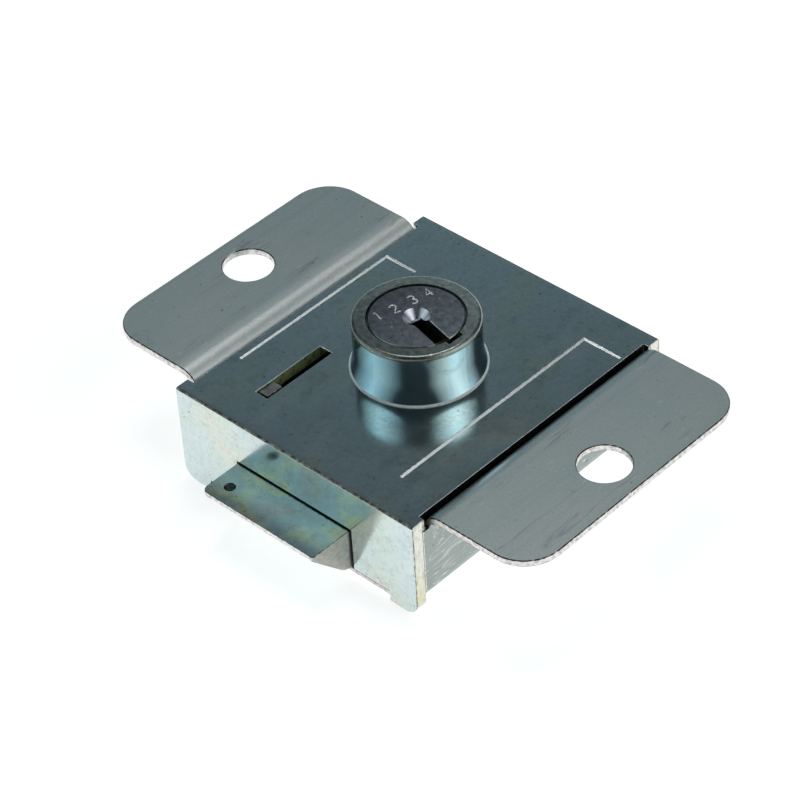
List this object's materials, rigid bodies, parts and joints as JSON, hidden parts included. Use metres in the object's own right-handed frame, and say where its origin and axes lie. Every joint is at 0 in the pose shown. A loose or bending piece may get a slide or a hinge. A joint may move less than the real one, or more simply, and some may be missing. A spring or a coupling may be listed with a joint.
{
  "type": "cabinet lock with spring bolt",
  "caption": "Key-operated spring bolt lock in a pressed steel case, with a round cylinder nozzle, a bevelled sliding bolt and a screw hole in each side ear.",
  "frame": {"origin": "midway between the two ear holes, on the cylinder's axis, in the plane of the ears' upper faces, which lie against the inside of the door", "axes": "+Z along the cylinder, out of the door towards the key; +Y away from the bolt, which shoots towards -Y; +X completes the frame, with the ears along X"},
  "size_m": [0.0836, 0.0605, 0.0257],
  "materials": {
    "plated_plate": "dark blue-grey zinc plating, polished",
    "plated_pan": "grey-green zinc plating, satin",
    "plated_nozzle": "bright zinc plating",
    "cylinder_zinc": "grey-brown plated zinc casting",
    "plug_zinc": "dark brown-grey plated zinc casting",
    "bolt_passivated": "iridescent yellow-green passivated zinc",
    "brass": "plain",
    "spring_steel": "bright drawn wire",
    "bright_steel": "bright zinc plating"
  },
  "bodies": {
    "housing": {"case": "plated_plate", "back_pan": "plated_pan", "nozzle_sleeve": "plated_nozzle", "cylinder_shell": "cylinder_zinc", "lock_washer": "spring_steel", "ring_nut": "bright_steel", "slide_rails": "bright_steel", "spring_guides": "bright_steel", "bolt_springs": "spring_steel"},
    "plug": {"plug": "plug_zinc", "plug_clip": "spring_steel", "cam_plate": "bright_steel", "crank_pin": "bright_steel", "cam_screw": "bright_steel", "wafer_spring_1": "spring_steel", "wafer_spring_2": "spring_steel", "wafer_spring_3": "spring_steel", "wafer_spring_4": "spring_steel", "wafer_spring_5": "spring_steel"},
    "bolt": {"bolt_head": "bolt_passivated", "bolt_slide": "bolt_passivated", "bolt_rivets": "bolt_passivated"},
    "wafer_1": {"wafer_1": "brass"},
    "wafer_2": {"wafer_2": "brass"},
    "wafer_3": {"wafer_3": "brass"},
    "wafer_4": {"wafer_4": "brass"},
    "wafer_5": {"wafer_5": "brass"}
  },
  "joints": [
    {"name": "plug_turn", "type": "hinge", "parent": "housing", "child": "plug", "pos_m": [0, 0, 0], "axis": [0, 0, 1], "range_deg": [0, 90]},
    {"name": "bolt_slide", "type": "slide", "parent": "housing", "child": "bolt", "axis": [0, 1, 0], "range_m": [0, 0.0075], "stiffness_N_per_m": 150, "deforming": ["bolt_springs"]},
    {"name": "wafer_1_slide", "type": "slide", "parent": "plug", "child": "wafer_1", "axis": [-0.9724, 0.2334, 0], "range_m": [0, 0.0005], "stiffness_N_per_m": 120, "deforming": ["wafer_spring_1"]},
    {"name": "wafer_2_slide", "type": "slide", "parent": "plug", "child": "wafer_2", "axis": [-0.9724, 0.2334, 0], "range_m": [0, 0.0005], "stiffness_N_per_m": 120, "deforming": ["wafer_spring_2"]},
    {"name": "wafer_3_slide", "type": "slide", "parent": "plug", "child": "wafer_3", "axis": [-0.9724, 0.2334, 0], "range_m": [0, 0.0005], "stiffness_N_per_m": 120, "deforming": ["wafer_spring_3"]},
    {"name": "wafer_4_slide", "type": "slide", "parent": "plug", "child": "wafer_4", "axis": [-0.9724, 0.2334, 0], "range_m": [0, 0.0005], "stiffness_N_per_m": 120, "deforming": ["wafer_spring_4"]},
    {"name": "wafer_5_slide", "type": "slide", "parent": "plug", "child": "wafer_5", "axis": [-0.9724, 0.2334, 0], "range_m": [0, 0.0005], "stiffness_N_per_m": 120, "deforming": ["wafer_spring_5"]}
  ],
  "couplings": [
    {"joint": "plug_turn", "follows": "bolt_slide", "rad_per_m": 209.44}
  ]
}
